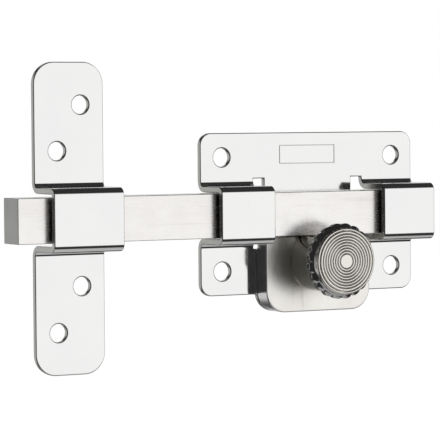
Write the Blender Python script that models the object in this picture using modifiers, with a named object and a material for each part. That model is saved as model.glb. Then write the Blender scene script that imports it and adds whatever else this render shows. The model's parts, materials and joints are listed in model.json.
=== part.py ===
"""Rim sliding bolt with a turn knob and a separate strap keeper.

Frame: X runs along the bolt, +X being the way it retracts, +Z is up, and the front faces -Y.
The origin is on the back face of the base plate, at the middle of its width, on the bolt's axis.
Depths are measured from that back face towards the front, so a depth d lies at y = -d.
"""

import math

import bmesh
import bpy
from mathutils import Matrix, Vector

# Sheet metal of the base plate and the keeper
SHEET = 0.0020
FOLD_INSIDE = 0.0017
CREST_INSIDE = 0.0005

# Base plate
PLATE_WIDTH = 0.0800
PLATE_HEIGHT = 0.0525
PLATE_CORNER = 0.0040
PLATE_HOLE_RADIUS = 0.0030
PLATE_HOLE_FROM_END = 0.0079
PLATE_HOLE_FROM_FOLD = 0.0074
RELIEF_SLOT = 0.0040

# Keeper strap
KEEPER_WIDTH = 0.0240
KEEPER_HEIGHT = 0.0980
KEEPER_CORNER = 0.0070
KEEPER_GAP = 0.0344
KEEPER_HOLE_RADIUS = 0.0029
KEEPER_HOLE_X = 0.0041
KEEPER_HOLE_FROM_END = 0.0134
KEEPER_HOLE_FROM_FOLD = 0.0095

# Bolt
BOLT_HEIGHT = 0.0142
BOLT_THICKNESS = 0.0106
BOLT_EDGE = 0.0005
BOLT_OVERHANG = 0.0106
BOLT_TAIL_INSET = 0.0020
BOLT_SIDE_CLEARANCE = 0.0002
BOLT_BACK_CLEARANCE = 0.0004
BOLT_FRONT_CLEARANCE = 0.0015
KEEPER_SIDE_CLEARANCE = 0.0009
RETRACTED_CLEARANCE = 0.0004

# Rack and pinion
MODULE = 0.0010
PINION_TEETH = 18
PINION_WIDTH = 0.0032
PRESSURE_ANGLE = math.radians(20)
PINION_BACKLASH = 0.0001
RACK_BACKLASH = 0.0002
ROOT_DEPTH = 1.25

# Lock case
CASE_WIDTH = 0.0390
CASE_WALL = 0.0019
CASE_GAP = 0.0010
CASE_DROP = 0.0169
CASE_CORNER = 0.0070

# Knob, from the sleeve to the cap
SLEEVE_RADIUS = 0.0105
SLEEVE_LENGTH = 0.0115
KNOB_LOBES = 20
LOBE_HEIGHT = 0.0007
LOBE_STEP = 0.0008
LOBE_BAND = 0.0035
LOBE_CHAMFER = 0.0003
COLLAR_RIM = 0.0008
COLLAR_LENGTH = 0.0020
COLLAR_ROUND = 0.0005
CAP_RADIUS = 0.0097
CAP_THICKNESS = 0.0018
CAP_STANDS_OUT = 0.0002

# Spindle and its bearings
JOURNAL_RADIUS = 0.0034
KNOB_SQUARE_LENGTH = 0.0022
SPINDLE_TAP_DEPTH = 0.0070
BUSH_WALL = 0.0019
FRONT_BUSH_LENGTH = 0.0033
REAR_BUSH_LENGTH = 0.0056
CIRCLIP_THICKNESS = 0.0005
CIRCLIP_RIM = 0.0018
CIRCLIP_GROOVE = 0.0003
WASHER_THICKNESS = 0.0005
WASHER_WALL = 0.0009
WAVE_THICKNESS = 0.0003
WAVE_HEIGHT = 0.0002
WAVES = 3

# Fixings
CASE_SCREW_RADIUS = 0.00125
CASE_SCREW_HEAD = 0.0027
CASE_SCREW_GRIP = 0.0022
CASE_SCREW_WALL = 0.0022
CASE_SCREW_RISE = 0.0045
SLEEVE_SCREW_RADIUS = 0.00095
SLEEVE_SCREW_HEAD = 0.0019
SLEEVE_SCREW_GRIP = 0.0024
SLEEVE_SCREW_ANGLES = (math.radians(210), math.radians(330))
KNOB_SCREW_RADIUS = 0.00125
KNOB_SCREW_HEAD = 0.0026
KNOB_SCREW_REACH = 0.0050
STOP_PIN_RADIUS = 0.0015
STOP_PIN_REACH = 0.0022
STOP_PIN_X = 0.0100
STOP_PIN_Z = 0.0020
DRIVE_SLOT_WIDTH = 0.0008
DRIVE_SLOT_DEPTH = 0.0006

# Fits
GAP = 0.0003
SEAT = 0.0002
RUNNING = 0.0001
SQUARE_PLAY = 0.00015

# Fineness
ROUND = 40
SMALL_ROUND = 20
BEND_STEPS = 5
CORNER_STEPS = 6
FLANK_STEPS = 4
LOBE_STEPS = 6
WELD = 0.00001
THROUGH = 0.0010

# Places that follow from the sizes above
INSIDE_HALF = BOLT_HEIGHT / 2 + BOLT_SIDE_CLEARANCE
FOLD_END = INSIDE_HALF + SHEET + FOLD_INSIDE
PLATE_HOLE_X = PLATE_WIDTH / 2 - PLATE_HOLE_FROM_END
PLATE_HOLE_Z = FOLD_END + PLATE_HOLE_FROM_FOLD
KEEPER_INSIDE_HALF = BOLT_HEIGHT / 2 + KEEPER_SIDE_CLEARANCE
KEEPER_FOLD_END = KEEPER_INSIDE_HALF + SHEET + FOLD_INSIDE
KEEPER_HOLE_NEAR = KEEPER_FOLD_END + KEEPER_HOLE_FROM_FOLD
KEEPER_HOLE_FAR = KEEPER_HEIGHT / 2 - KEEPER_HOLE_FROM_END
KEEPER_X = -(PLATE_WIDTH / 2 + KEEPER_GAP + KEEPER_WIDTH / 2)
CASE_HALF = CASE_WIDTH / 2
BRIDGE_END = CASE_HALF + CASE_GAP
BOLT_TIP = KEEPER_X - KEEPER_WIDTH / 2 - BOLT_OVERHANG
BOLT_TAIL = PLATE_WIDTH / 2 - BOLT_TAIL_INSET
BOLT_BACK = SHEET + BOLT_BACK_CLEARANCE
BOLT_FRONT = BOLT_BACK + BOLT_THICKNESS
BOLT_UNDERSIDE = -BOLT_HEIGHT / 2
BRIDGE_REACH = BOLT_FRONT + BOLT_FRONT_CLEARANCE + SHEET
TRAVEL = BOLT_OVERHANG + KEEPER_WIDTH + RETRACTED_CLEARANCE
PITCH_RADIUS = MODULE * PINION_TEETH / 2
TIP_RADIUS = PITCH_RADIUS + MODULE
KNOB_Z = BOLT_UNDERSIDE + MODULE - PITCH_RADIUS
CASE_BACK = SHEET + GAP
CASE_TOP = BOLT_UNDERSIDE - GAP
CASE_BOTTOM = KNOB_Z - CASE_DROP
POCKET_RADIUS = TIP_RADIUS + 2 * GAP
CIRCLIP_BACK = CASE_BACK
PINION_BACK = CIRCLIP_BACK + CIRCLIP_THICKNESS + GAP
PINION_FRONT = PINION_BACK + PINION_WIDTH
CASE_FLOOR = PINION_FRONT + GAP
CASE_FRONT = CASE_FLOOR + CASE_WALL
SLEEVE_BACK = CASE_FRONT + SEAT
SLEEVE_FRONT = SLEEVE_BACK + SLEEVE_LENGTH
KNOB_BACK = SLEEVE_FRONT + GAP
COLLAR_BACK = KNOB_BACK + LOBE_BAND
KNOB_FRONT = COLLAR_BACK + COLLAR_LENGTH
CAP_FRONT = KNOB_FRONT + CAP_STANDS_OUT
CAP_BACK = CAP_FRONT - CAP_THICKNESS
RECESS_RADIUS = CAP_RADIUS + SEAT
RECESS_FLOOR = CAP_BACK - SEAT
COLLAR_RADIUS = RECESS_RADIUS + COLLAR_RIM
LOBE_VALLEY = COLLAR_RADIUS + LOBE_STEP
LOBE_PEAK = LOBE_VALLEY + LOBE_HEIGHT
BUSH_BORE = JOURNAL_RADIUS + RUNNING
BUSH_RADIUS = JOURNAL_RADIUS + BUSH_WALL
BUSH_SEAT = BUSH_RADIUS + SEAT
SPINDLE_SQUARE = (JOURNAL_RADIUS - SEAT) * math.sqrt(2)
SQUARE_BORE = SPINDLE_SQUARE + 2 * SQUARE_PLAY
REAR_JOURNAL_RADIUS = SPINDLE_SQUARE / 2 - RUNNING / 2
CIRCLIP_RADIUS = REAR_JOURNAL_RADIUS + CIRCLIP_RIM
WASHER_RADIUS = CASE_TOP - KNOB_Z - WASHER_WALL
WASHER_FRONT = KNOB_BACK - SEAT
WASHER_BACK = WASHER_FRONT - WASHER_THICKNESS
WAVE_MIDDLE = WASHER_BACK - SEAT - WAVE_HEIGHT - WAVE_THICKNESS / 2
WASHER_FLOOR = WAVE_MIDDLE - WAVE_HEIGHT - WAVE_THICKNESS / 2 - SEAT
FRONT_BUSH_FRONT = WASHER_FLOOR + SEAT / 2
FRONT_BUSH_BACK = FRONT_BUSH_FRONT - FRONT_BUSH_LENGTH
REAR_BUSH_BACK = CASE_FLOOR + SEAT
REAR_BUSH_FRONT = REAR_BUSH_BACK + REAR_BUSH_LENGTH
JOURNAL_FRONT = WASHER_FRONT - WASHER_THICKNESS / 2
SPINDLE_FRONT = KNOB_BACK + KNOB_SQUARE_LENGTH - SEAT
CASE_SCREW_REACH = CASE_BACK + CASE_SCREW_GRIP - SEAT
SLEEVE_SCREW_CIRCLE = (BUSH_SEAT + SLEEVE_RADIUS) / 2
SLEEVE_SCREW_REACH = CASE_WALL + SLEEVE_SCREW_GRIP
STOP_PIN_FRONT = BOLT_BACK + STOP_PIN_REACH
SLOT_DEPTH = STOP_PIN_REACH + 2 * SEAT

NICKEL = ((0.83, 0.83, 0.82), 0.12)
SATIN = ((0.82, 0.80, 0.79), 0.32)
CHROME = ((0.62, 0.62, 0.62), 0.08)
STEEL = ((0.45, 0.45, 0.46), 0.38)
BRONZE = ((0.62, 0.42, 0.22), 0.40)


def clear_scene():
    for obj in list(bpy.data.objects):
        bpy.data.objects.remove(obj)


def collection(name):
    made = bpy.data.collections.new(name)
    bpy.context.scene.collection.children.link(made)
    return made


def at_depth(x, depth, z):
    """The point at a depth in front of the plate's back face."""
    return Vector((x, -depth, z))


def finish_node(obj, look):
    """Gives a piece its material, its shading and its place among the parts."""
    colour, roughness = look
    material = bpy.data.materials.new(obj.name)
    material.use_nodes = True
    shader = material.node_tree.nodes["Principled BSDF"]
    shader.inputs["Base Color"].default_value = (*colour, 1.0)
    shader.inputs["Metallic"].default_value = 1.0
    shader.inputs["Roughness"].default_value = roughness
    obj.data.materials.clear()
    obj.data.materials.append(material)
    obj.data.shade_smooth()
    obj.data.set_sharp_from_angle(angle=math.radians(30))
    PARTS.objects.link(obj)
    return obj


def guide(obj):
    """Marks an object as a cutter or a shape to be joined, which isn't a piece itself."""
    obj.hide_render = True
    obj.display_type = "WIRE"
    CUTTERS.objects.link(obj)
    return obj


def combine(obj, other, operation):
    modifier = obj.modifiers.new(other.name, "BOOLEAN")
    modifier.operation = operation
    modifier.solver = "EXACT"
    modifier.object = other


def cut(obj, *cutters):
    for cutter in cutters:
        combine(obj, guide(cutter), "DIFFERENCE")


def join(obj, *others):
    for other in others:
        combine(obj, guide(other), "UNION")


def mesh_object(name, bm):
    mesh = bpy.data.meshes.new(name)
    bm.to_mesh(mesh)
    bm.free()
    return bpy.data.objects.new(name, mesh)


def block(name, low, high):
    """A box between two corners."""
    bm = bmesh.new()
    size = high - low
    place = Matrix.Translation((low + high) / 2) @ Matrix.Diagonal((*size, 1.0))
    bmesh.ops.create_cube(bm, size=1.0, matrix=place)
    bmesh.ops.recalc_face_normals(bm, faces=bm.faces)
    return mesh_object(name, bm)


def depth_block(name, x_range, depth_range, z_range):
    """A box given by ranges of x, depth and z."""
    low = Vector((min(x_range), -max(depth_range), min(z_range)))
    high = Vector((max(x_range), -min(depth_range), max(z_range)))
    return block(name, low, high)


def lathe(name, profile, x=0.0, z=None, steps=ROUND, closed=False):
    """A shape turned about a line along Y through x and z.

    The profile is (radius, depth) pairs, from the front to the back along the outside.
    """
    bm = bmesh.new()
    points = [bm.verts.new((radius, 0.0, depth)) for radius, depth in profile]
    for first, second in zip(points, points[1:]):
        bm.edges.new((first, second))
    if closed:
        bm.edges.new((points[-1], points[0]))
    obj = mesh_object(name, bm)
    obj.location = (x, 0.0, KNOB_Z if z is None else z)
    obj.rotation_euler = (math.radians(90), 0.0, 0.0)
    screw = obj.modifiers.new("turn", "SCREW")
    screw.axis = "Z"
    screw.steps = steps
    screw.render_steps = steps
    screw.use_merge_vertices = True
    screw.merge_threshold = WELD
    weld = obj.modifiers.new("close the poles", "WELD")
    weld.merge_threshold = WELD
    return obj


def drum(name, radius, back, front, x=0.0, z=None, steps=ROUND):
    profile = [(0.0, front), (radius, front), (radius, back), (0.0, back)]
    return lathe(name, profile, x, z, steps)


def ring(name, inner, outer, back, front):
    profile = [(outer, front), (outer, back), (inner, back), (inner, front)]
    return lathe(name, profile, closed=True)


def arc(centre, radius, start, end, steps):
    """Points of an arc in a plane, both ends included."""
    turn = [start + (end - start) * step / steps for step in range(steps + 1)]
    return [(centre[0] + radius * math.cos(a), centre[1] + radius * math.sin(a)) for a in turn]


def slab(name, outline, back, front, x=0.0, z=0.0, chamfer=0.0):
    """A flat outline in X and Z, as thick as from one depth to another."""
    curve = bpy.data.curves.new(name, "CURVE")
    curve.dimensions = "2D"
    curve.fill_mode = "BOTH"
    curve.extrude = (front - back) / 2 - chamfer
    curve.bevel_depth = chamfer
    curve.bevel_resolution = 0
    curve.offset = -chamfer
    spline = curve.splines.new("POLY")
    spline.points.add(len(outline) - 1)
    for point, (across, up) in zip(spline.points, outline):
        point.co = (across, up, 0.0, 1.0)
    spline.use_cyclic_u = True
    drawn = bpy.data.objects.new(name + "_outline", curve)
    drawn.location = at_depth(x, (back + front) / 2, z)
    drawn.rotation_euler = (math.radians(90), 0.0, 0.0)
    bpy.context.scene.collection.objects.link(drawn)
    return as_mesh(name, drawn)


def as_mesh(name, drawn):
    """The curve as a mesh whose caps are welded to its sides."""
    bpy.context.view_layer.update()
    graph = bpy.context.evaluated_depsgraph_get()
    mesh = bpy.data.meshes.new_from_object(drawn.evaluated_get(graph))
    bm = bmesh.new()
    bm.from_mesh(mesh)
    bmesh.ops.remove_doubles(bm, verts=bm.verts, dist=WELD)
    bmesh.ops.recalc_face_normals(bm, faces=bm.faces)
    bm.to_mesh(mesh)
    bm.free()
    obj = bpy.data.objects.new(name, mesh)
    obj.matrix_world = drawn.matrix_world
    bpy.data.objects.remove(drawn)
    return obj


def hold(piece, carrier):
    """Parents a piece to an empty on its joint's axis, without moving it."""
    piece.parent = carrier
    piece.matrix_parent_inverse = Matrix.Translation(-carrier.location)


def empty(name, place):
    made = bpy.data.objects.new(name, None)
    made.location = place
    PARTS.objects.link(made)
    return made


def bridge_path(inside_half):
    """The sheet's middle line over a bridge, as (depth, z) from the upper fold to the lower one."""
    leg = inside_half + SHEET / 2
    fold = FOLD_INSIDE + SHEET / 2
    crest = CREST_INSIDE + SHEET / 2
    flat = SHEET / 2
    front = BRIDGE_REACH - SHEET / 2
    upper = arc((flat + fold, leg + fold), fold, math.pi, 1.5 * math.pi, BEND_STEPS)
    upper += arc((front - crest, leg - crest), crest, math.pi / 2, 0.0, BEND_STEPS)
    lower = [(depth, -z) for depth, z in reversed(upper)]
    return upper + lower


def add_strip(bm, x_lines, path):
    """A strip of sheet that follows a path of (depth, z), with an edge at each of the x lines."""
    rows = [[bm.verts.new(at_depth(x, depth, z)) for x in x_lines] for depth, z in path]
    for upper, lower in zip(rows, rows[1:]):
        for column in range(len(x_lines) - 1):
            bm.faces.new((upper[column], lower[column], lower[column + 1], upper[column + 1]))


def round_corners(bm, corners, radius):
    """Rounds the sheet's outline at the given (x, z) corners."""
    chosen = [
        vert
        for vert in bm.verts
        for x, z in corners
        if math.hypot(vert.co.x - x, vert.co.z - z) < WELD
    ]
    bmesh.ops.bevel(
        bm, geom=chosen, offset=radius, offset_type="OFFSET", segments=CORNER_STEPS,
        profile=0.5, affect="VERTICES",
    )


def sheet_piece(name, bm):
    """Gives the open surface the sheet's thickness, half to each side."""
    bmesh.ops.recalc_face_normals(bm, faces=bm.faces)
    obj = mesh_object(name, bm)
    solid = obj.modifiers.new("sheet", "SOLIDIFY")
    solid.thickness = SHEET
    solid.offset = 0.0
    solid.use_even_offset = True
    return obj


def countersink(name, head, shank, back, front, x, z, to_front):
    """A hole for a countersunk screw, whose head is at the back or, with to_front, at the front.

    The cone runs on past the face that it starts from, so that no edge of the cutter lies in it.
    """
    slope = head - shank
    if to_front:
        profile = [(0.0, front + SEAT), (head + SEAT, front + SEAT), (shank, front - slope)]
        profile += [(shank, back), (0.0, back)]
    else:
        profile = [(0.0, front), (shank, front), (shank, back + slope)]
        profile += [(head + SEAT, back - SEAT), (0.0, back - SEAT)]
    return lathe(name, profile, x, z, SMALL_ROUND)


def rear_screw(name, head, shank, back, reach, x, z):
    """A countersunk screw put in from behind, its slotted head's face at the back depth."""
    neck = back + (head - shank)
    front = back + reach
    profile = [(0.0, front), (shank, front), (shank, neck), (head, back), (0.0, back)]
    screw = lathe(name, profile, x, z, SMALL_ROUND)
    slot = depth_block(
        name + "_slot",
        (x - head - THROUGH, x + head + THROUGH),
        (back - THROUGH, back + DRIVE_SLOT_DEPTH),
        (z - DRIVE_SLOT_WIDTH / 2, z + DRIVE_SLOT_WIDTH / 2),
    )
    cut(screw, slot)
    return screw


def case_screw_places():
    """Two screws beside the pinion's pocket and two near the case's lower corners."""
    beside = POCKET_RADIUS + CASE_SCREW_WALL + CASE_SCREW_RADIUS
    low = CASE_BOTTOM + CASE_SCREW_RISE
    inner = CASE_HALF - CASE_CORNER
    return [(-beside, KNOB_Z), (beside, KNOB_Z), (-inner, low), (inner, low)]


def sleeve_screw_places():
    return [
        (SLEEVE_SCREW_CIRCLE * math.cos(a), KNOB_Z + SLEEVE_SCREW_CIRCLE * math.sin(a))
        for a in SLEEVE_SCREW_ANGLES
    ]


def case_outline(top):
    """The case's outline below a height, round at its two lower corners."""
    inner = CASE_HALF - CASE_CORNER
    middle = CASE_BOTTOM + CASE_CORNER
    left = arc((-inner, middle), CASE_CORNER, math.pi, 1.5 * math.pi, CORNER_STEPS)
    right = arc((inner, middle), CASE_CORNER, 1.5 * math.pi, 2 * math.pi, CORNER_STEPS)
    return [(-CASE_HALF, top)] + left + right + [(CASE_HALF, top)]


def make_base_plate():
    """The plate, its two bridges and the tongue behind the case, pressed from one sheet."""
    path = bridge_path(INSIDE_HALF)
    flat, fold = path[0]
    edge = PLATE_WIDTH / 2
    slot = BRIDGE_END - RELIEF_SLOT
    top = PLATE_HEIGHT / 2
    across = [-edge, -BRIDGE_END, -slot, slot, BRIDGE_END, edge]
    bm = bmesh.new()
    add_strip(bm, across, [(flat, top), (flat, fold)])
    add_strip(bm, [-slot, slot], [(flat, fold), (flat, -fold)])
    add_strip(bm, across, [(flat, -fold), (flat, -top)])
    for side in (-1, 1):
        add_strip(bm, sorted((side * edge, side * BRIDGE_END)), path)
    bmesh.ops.remove_doubles(bm, verts=bm.verts, dist=WELD)
    round_corners(bm, [(x, z) for x in (-edge, edge) for z in (-top, top)], PLATE_CORNER)
    plate = sheet_piece("base_plate", bm)
    tongue_top = CASE_BOTTOM + CASE_CORNER + THROUGH
    join(plate, slab("tongue", case_outline(tongue_top), 0.0, SHEET))
    for side_x in (-1, 1):
        for side_z in (-1, 1):
            place = (side_x * PLATE_HOLE_X, side_z * PLATE_HOLE_Z)
            cut(plate, drum("plate_hole", PLATE_HOLE_RADIUS, -THROUGH, SHEET + THROUGH, *place))
    tail_hole = REAR_JOURNAL_RADIUS + GAP
    cut(plate, drum("spindle_hole", tail_hole, -THROUGH, SHEET + THROUGH, steps=SMALL_ROUND))
    head = CASE_SCREW_HEAD + SEAT
    shank = CASE_SCREW_RADIUS + SEAT
    for x, z in case_screw_places():
        cut(plate, countersink("case_screw_hole", head, shank, 0.0, SHEET + THROUGH, x, z, False))
    pin_place = (STOP_PIN_X, STOP_PIN_Z)
    cut(plate, drum("pin_hole", STOP_PIN_RADIUS + SEAT, -THROUGH, SHEET + THROUGH, *pin_place, SMALL_ROUND))
    return finish_node(plate, NICKEL)


def make_keeper():
    """The strap that takes the bolt's end, with one full-width bridge."""
    path = bridge_path(KEEPER_INSIDE_HALF)
    flat = path[0][0]
    half = KEEPER_WIDTH / 2
    top = KEEPER_HEIGHT / 2
    edges = [KEEPER_X - half, KEEPER_X + half]
    bm = bmesh.new()
    add_strip(bm, edges, [(flat, top)] + path + [(flat, -top)])
    round_corners(bm, [(x, z) for x in edges for z in (-top, top)], KEEPER_CORNER)
    keeper = sheet_piece("keeper_strap", bm)
    holes = [(KEEPER_HOLE_X, KEEPER_HOLE_FAR), (-KEEPER_HOLE_X, KEEPER_HOLE_NEAR)]
    holes += [(-x, -z) for x, z in holes]
    for x, z in holes:
        cut(keeper, drum("keeper_hole", KEEPER_HOLE_RADIUS, -THROUGH, SHEET + THROUGH, KEEPER_X + x, z))
    return finish_node(keeper, NICKEL)


def rack_gap(name, x):
    """The space between two teeth of the rack, cut from behind."""
    pitch_line = BOLT_UNDERSIDE + MODULE
    half = (math.pi * MODULE / 2 + RACK_BACKLASH) / 2
    slope = math.tan(PRESSURE_ANGLE)
    mouth = MODULE + THROUGH
    root = ROOT_DEPTH * MODULE
    outline = [
        (x - half - mouth * slope, pitch_line - mouth),
        (x + half + mouth * slope, pitch_line - mouth),
        (x + half - root * slope, pitch_line + root),
        (x - half + root * slope, pitch_line + root),
    ]
    return slab(name, outline, BOLT_BACK - THROUGH, PINION_FRONT + GAP)


def make_bolt():
    """The bar, with the rack in the back of its lower edge and the stop pin's slot in its back."""
    bolt = depth_block(
        "bolt_bar",
        (BOLT_TIP, BOLT_TAIL),
        (BOLT_BACK, BOLT_FRONT),
        (-BOLT_HEIGHT / 2, BOLT_HEIGHT / 2),
    )
    bevel = bolt.modifiers.new("broken edges", "BEVEL")
    bevel.width = BOLT_EDGE
    bevel.segments = 1
    reach = math.sqrt(TIP_RADIUS**2 - (BOLT_UNDERSIDE - KNOB_Z) ** 2)
    pitch = math.pi * MODULE
    last = math.ceil(reach / pitch)
    first = -math.ceil((TRAVEL + reach) / pitch)
    for number in range(first, last + 1):
        cut(bolt, rack_gap("rack_gap", number * pitch))
    half = STOP_PIN_RADIUS + GAP
    left = STOP_PIN_X - TRAVEL
    outline = arc((left, STOP_PIN_Z), half, math.pi / 2, 1.5 * math.pi, CORNER_STEPS)
    outline += arc((STOP_PIN_X, STOP_PIN_Z), half, -math.pi / 2, math.pi / 2, CORNER_STEPS)
    cut(bolt, slab("stop_slot", outline, BOLT_BACK - THROUGH, BOLT_BACK + SLOT_DEPTH))
    return finish_node(bolt, SATIN)


def make_stop_pin():
    place = (STOP_PIN_X, STOP_PIN_Z)
    return finish_node(drum("stop_pin", STOP_PIN_RADIUS, SEAT, STOP_PIN_FRONT, *place, SMALL_ROUND), STEEL)


def make_case():
    """The block on the plate's tongue, hollow behind for the pinion and open to the bolt above."""
    case = slab("lock_case", case_outline(CASE_TOP), CASE_BACK, CASE_FRONT)
    cut(case, drum("pinion_pocket", POCKET_RADIUS, CASE_BACK - THROUGH, CASE_FLOOR))
    cut(case, drum("bush_hole", BUSH_SEAT, CASE_FLOOR - THROUGH, CASE_FRONT + THROUGH))
    depth = SEAT + CASE_SCREW_REACH + SEAT
    for x, z in case_screw_places():
        radius = CASE_SCREW_RADIUS + SEAT
        cut(case, drum("case_screw_seat", radius, CASE_BACK - THROUGH, depth, x, z, SMALL_ROUND))
    head = SLEEVE_SCREW_HEAD + SEAT
    shank = SLEEVE_SCREW_RADIUS + SEAT
    for x, z in sleeve_screw_places():
        front = CASE_FRONT + THROUGH
        cut(case, countersink("sleeve_screw_hole", head, shank, CASE_FLOOR, front, x, z, False))
    return finish_node(case, SATIN)


def make_case_screws():
    for number, (x, z) in enumerate(case_screw_places(), 1):
        name = f"case_screw_{number}"
        screw = rear_screw(name, CASE_SCREW_HEAD, CASE_SCREW_RADIUS, SEAT, CASE_SCREW_REACH, x, z)
        finish_node(screw, STEEL)


def make_sleeve():
    """The fixed neck behind the knob, which holds both bushes and clears the bolt with a flat on top."""
    profile = [
        (SLEEVE_RADIUS, SLEEVE_FRONT),
        (SLEEVE_RADIUS, SLEEVE_BACK),
        (BUSH_SEAT, SLEEVE_BACK),
        (BUSH_SEAT, REAR_BUSH_FRONT + SEAT),
        (JOURNAL_RADIUS + GAP, REAR_BUSH_FRONT + SEAT),
        (JOURNAL_RADIUS + GAP, FRONT_BUSH_BACK - SEAT),
        (BUSH_SEAT, FRONT_BUSH_BACK - SEAT),
        (BUSH_SEAT, WASHER_FLOOR),
        (WASHER_RADIUS + SEAT, WASHER_FLOOR),
        (WASHER_RADIUS + SEAT, SLEEVE_FRONT),
    ]
    sleeve = lathe("knob_sleeve", profile, closed=True)
    flat = depth_block(
        "sleeve_flat",
        (-SLEEVE_RADIUS - THROUGH, SLEEVE_RADIUS + THROUGH),
        (SLEEVE_BACK - THROUGH, SLEEVE_FRONT + THROUGH),
        (CASE_TOP, KNOB_Z + SLEEVE_RADIUS + THROUGH),
    )
    cut(sleeve, flat)
    depth = CASE_FLOOR + SLEEVE_SCREW_REACH + SLEEVE_SCREW_HEAD
    for x, z in sleeve_screw_places():
        radius = SLEEVE_SCREW_RADIUS + SEAT
        cut(sleeve, drum("sleeve_tap", radius, SLEEVE_BACK - THROUGH, depth, x, z, SMALL_ROUND))
    return finish_node(sleeve, NICKEL)


def make_sleeve_screws():
    for number, (x, z) in enumerate(sleeve_screw_places(), 1):
        name = f"sleeve_screw_{number}"
        back = CASE_FLOOR + SEAT
        screw = rear_screw(name, SLEEVE_SCREW_HEAD, SLEEVE_SCREW_RADIUS, back, SLEEVE_SCREW_REACH, x, z)
        finish_node(screw, STEEL)


def pinion_outline():
    """An involute outline, with one tooth pointing straight up."""
    base = PITCH_RADIUS * math.cos(PRESSURE_ANGLE)
    root = PITCH_RADIUS - ROOT_DEPTH * MODULE
    half_at_pitch = (math.pi * MODULE / 2 - PINION_BACKLASH) / 2 / PITCH_RADIUS

    def half_angle(radius):
        pressure = math.acos(base / radius)
        involute = math.tan(pressure) - pressure
        return half_at_pitch + math.tan(PRESSURE_ANGLE) - PRESSURE_ANGLE - involute

    flank = [base + (TIP_RADIUS - base) * step / FLANK_STEPS for step in range(FLANK_STEPS + 1)]
    side = [(root, half_angle(base))] + [(radius, half_angle(radius)) for radius in flank]
    points = []
    for tooth in range(PINION_TEETH):
        middle = math.pi / 2 + tooth * math.tau / PINION_TEETH
        rising = [(radius, middle - half) for radius, half in side]
        falling = [(radius, middle + half) for radius, half in reversed(side)]
        points += [(r * math.cos(a), r * math.sin(a)) for r, a in rising + falling]
    return points


def square_bar(name, side, back, front):
    half = side / 2
    return depth_block(name, (-half, half), (back, front), (KNOB_Z - half, KNOB_Z + half))


def make_pinion():
    pinion = slab("drive_pinion", pinion_outline(), PINION_BACK, PINION_FRONT, z=KNOB_Z)
    cut(pinion, square_bar("pinion_bore", SQUARE_BORE, PINION_BACK - THROUGH, PINION_FRONT + THROUGH))
    return finish_node(pinion, STEEL)


def make_spindle():
    """The shaft: a grooved tail in the plate, a square for the pinion, a journal and the knob's square."""
    shoulder = REAR_BUSH_BACK - SEAT / 2
    groove = REAR_JOURNAL_RADIUS - CIRCLIP_GROOVE
    profile = [
        (0.0, JOURNAL_FRONT),
        (JOURNAL_RADIUS, JOURNAL_FRONT),
        (JOURNAL_RADIUS, shoulder),
        (REAR_JOURNAL_RADIUS, shoulder),
        (REAR_JOURNAL_RADIUS, CIRCLIP_BACK + CIRCLIP_THICKNESS + RUNNING),
        (groove, CIRCLIP_BACK + CIRCLIP_THICKNESS + RUNNING),
        (groove, CIRCLIP_BACK - RUNNING),
        (REAR_JOURNAL_RADIUS, CIRCLIP_BACK - RUNNING),
        (REAR_JOURNAL_RADIUS, GAP),
        (0.0, GAP),
    ]
    spindle = lathe("spindle", profile)
    join(spindle, square_bar("pinion_square", SPINDLE_SQUARE, PINION_BACK, shoulder + THROUGH))
    join(spindle, square_bar("knob_square", SPINDLE_SQUARE, JOURNAL_FRONT - THROUGH, SPINDLE_FRONT))
    tap = drum(
        "spindle_tap", KNOB_SCREW_RADIUS + SEAT, SPINDLE_FRONT - SPINDLE_TAP_DEPTH, SPINDLE_FRONT + THROUGH,
        steps=SMALL_ROUND,
    )
    cut(spindle, tap)
    return finish_node(spindle, STEEL)


def make_circlip():
    inner = REAR_JOURNAL_RADIUS - CIRCLIP_GROOVE + RUNNING
    front = CIRCLIP_BACK + CIRCLIP_THICKNESS
    circlip = ring("spindle_circlip", inner, CIRCLIP_RADIUS, CIRCLIP_BACK, front)
    half = REAR_JOURNAL_RADIUS / 2
    mouth = depth_block(
        "circlip_mouth",
        (-half, half),
        (CIRCLIP_BACK - GAP, front + GAP),
        (KNOB_Z - CIRCLIP_RADIUS - THROUGH, KNOB_Z),
    )
    cut(circlip, mouth)
    return finish_node(circlip, STEEL)


def make_bushes():
    rear = ring("rear_bush", BUSH_BORE, BUSH_RADIUS, REAR_BUSH_BACK, REAR_BUSH_FRONT)
    front = ring("front_bush", BUSH_BORE, BUSH_RADIUS, FRONT_BUSH_BACK, FRONT_BUSH_FRONT)
    return finish_node(rear, BRONZE), finish_node(front, BRONZE)


def make_wave_washer():
    """A ring whose height waves round it, so that it presses the knob's washer forwards."""
    inner = JOURNAL_RADIUS + 2 * GAP
    back = WAVE_MIDDLE - WAVE_THICKNESS / 2
    washer = ring("wave_washer", inner, WASHER_RADIUS, back, back + WAVE_THICKNESS)
    mesh = turned_mesh(washer)
    for vert in mesh.vertices:
        turn = math.atan2(vert.co.y, vert.co.x)
        vert.co.z += WAVE_HEIGHT * math.sin(WAVES * turn)
    return finish_node(washer, STEEL)


def turned_mesh(obj):
    """The turned shape as a plain mesh of the object, so that its points can be moved."""
    scene = bpy.context.scene.collection
    scene.objects.link(obj)
    bpy.context.view_layer.update()
    graph = bpy.context.evaluated_depsgraph_get()
    mesh = bpy.data.meshes.new_from_object(obj.evaluated_get(graph))
    obj.modifiers.clear()
    obj.data = mesh
    scene.objects.unlink(obj)
    return mesh


def make_thrust_washer():
    inner = JOURNAL_RADIUS + GAP
    washer = ring("thrust_washer", inner, WASHER_RADIUS, WASHER_BACK, WASHER_FRONT)
    return finish_node(washer, BRONZE)


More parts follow.
